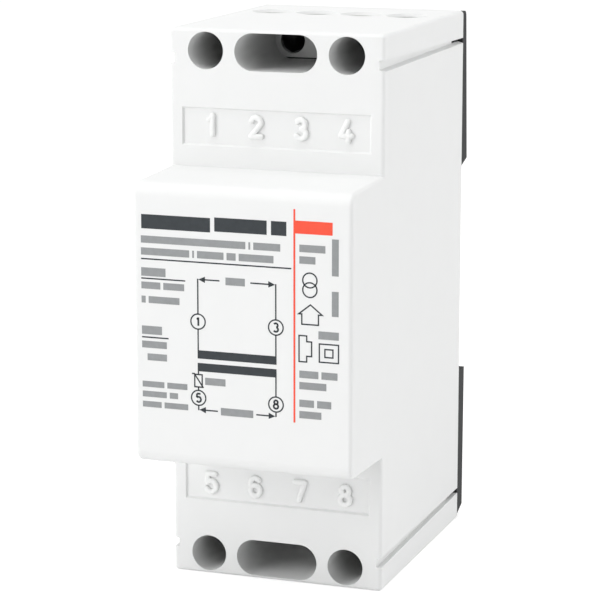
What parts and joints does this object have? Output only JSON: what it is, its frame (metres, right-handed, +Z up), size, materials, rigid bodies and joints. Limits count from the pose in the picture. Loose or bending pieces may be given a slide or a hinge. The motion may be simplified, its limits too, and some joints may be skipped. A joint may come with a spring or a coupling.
{
  "type": "din rail transformer",
  "caption": "White two-module transformer for a top-hat rail: raised nose, screw wells at both ends, clamp terminals, laminated core with coil, dark base with sprung rail latch.",
  "frame": {"origin": "centre of the plane that seats on the rail", "axes": "+X along the rail, +Y into the wall, +Z up"},
  "size_m": [0.036, 0.0631, 0.09],
  "materials": {
    "housing_white": "white moulded plastic, fine satin grain",
    "base_grey": "dark grey moulded plastic, satin",
    "block_grey": "light grey moulded plastic",
    "plated_steel": "bright zinc-plated steel",
    "spring_steel": "spring steel strip",
    "busbar_brass": "tinned brass strip",
    "core_steel": "varnished electrical steel laminations",
    "bobbin_plastic": "natural glass-filled nylon",
    "copper_wire": "enamelled copper wire, wound",
    "coil_tape": "yellow polyester coil tape",
    "disc_ceramic": "coated ceramic disc",
    "lead_black": "black lead insulation",
    "lead_blue": "blue lead insulation"
  },
  "bodies": {
    "transformer": {"front_housing": "housing_white", "base_plate": "base_grey", "latch_spring": "spring_steel", "upper_terminal_block": "block_grey", "lower_terminal_block": "block_grey", "core_e_stack": "core_steel", "core_i_stack": "core_steel", "coil_bobbin": "bobbin_plastic", "secondary_winding": "copper_wire", "primary_winding": "copper_wire", "secondary_tape": "coil_tape", "primary_tape": "coil_tape", "ptc_thermistor": "disc_ceramic", "secondary_lead_1": "lead_black", "secondary_lead_3": "lead_black", "primary_lead_5": "lead_blue", "primary_lead_8": "lead_blue", "busbar_1": "busbar_brass", "busbar_3": "busbar_brass", "busbar_5": "busbar_brass", "busbar_8": "busbar_brass"},
    "latch": {"rail_latch": "base_grey"},
    "screw_1": {"terminal_screw_1": "plated_steel"},
    "cage_1": {"clamp_cage_1": "plated_steel"},
    "screw_3": {"terminal_screw_3": "plated_steel"},
    "cage_3": {"clamp_cage_3": "plated_steel"},
    "screw_5": {"terminal_screw_5": "plated_steel"},
    "cage_5": {"clamp_cage_5": "plated_steel"},
    "screw_8": {"terminal_screw_8": "plated_steel"},
    "cage_8": {"clamp_cage_8": "plated_steel"}
  },
  "joints": [
    {"name": "latch_slide", "type": "slide", "parent": "transformer", "child": "latch", "axis": [0, 0, -1], "range_m": [0, 0.003], "stiffness_N_per_m": 600, "springref_m": -0.001, "deforming": ["latch_spring"]},
    {"name": "screw_1_turn", "type": "hinge", "parent": "transformer", "child": "screw_1", "pos_m": [-0.01182, -0.0216, 0.0415], "axis": [0, 1, 0], "range_deg": [0, 2592]},
    {"name": "cage_1_lift", "type": "slide", "parent": "transformer", "child": "cage_1", "axis": [0, -1, 0], "range_m": [0, 0.0036]},
    {"name": "screw_3_turn", "type": "hinge", "parent": "transformer", "child": "screw_3", "pos_m": [0.00394, -0.0216, 0.0415], "axis": [0, 1, 0], "range_deg": [0, 2592]},
    {"name": "cage_3_lift", "type": "slide", "parent": "transformer", "child": "cage_3", "axis": [0, -1, 0], "range_m": [0, 0.0036]},
    {"name": "screw_5_turn", "type": "hinge", "parent": "transformer", "child": "screw_5", "pos_m": [-0.01182, -0.0216, -0.0415], "axis": [0, 1, 0], "range_deg": [0, 2592]},
    {"name": "cage_5_lift", "type": "slide", "parent": "transformer", "child": "cage_5", "axis": [0, -1, 0], "range_m": [0, 0.0036]},
    {"name": "screw_8_turn", "type": "hinge", "parent": "transformer", "child": "screw_8", "pos_m": [0.01182, -0.0216, -0.0415], "axis": [0, 1, 0], "range_deg": [0, 2592]},
    {"name": "cage_8_lift", "type": "slide", "parent": "transformer", "child": "cage_8", "axis": [0, -1, 0], "range_m": [0, 0.0036]}
  ],
  "couplings": [
    {"joint": "screw_1_turn", "follows": "cage_1_lift", "rad_per_m": 12566},
    {"joint": "screw_3_turn", "follows": "cage_3_lift", "rad_per_m": 12566},
    {"joint": "screw_5_turn", "follows": "cage_5_lift", "rad_per_m": 12566},
    {"joint": "screw_8_turn", "follows": "cage_8_lift", "rad_per_m": 12566}
  ]
}
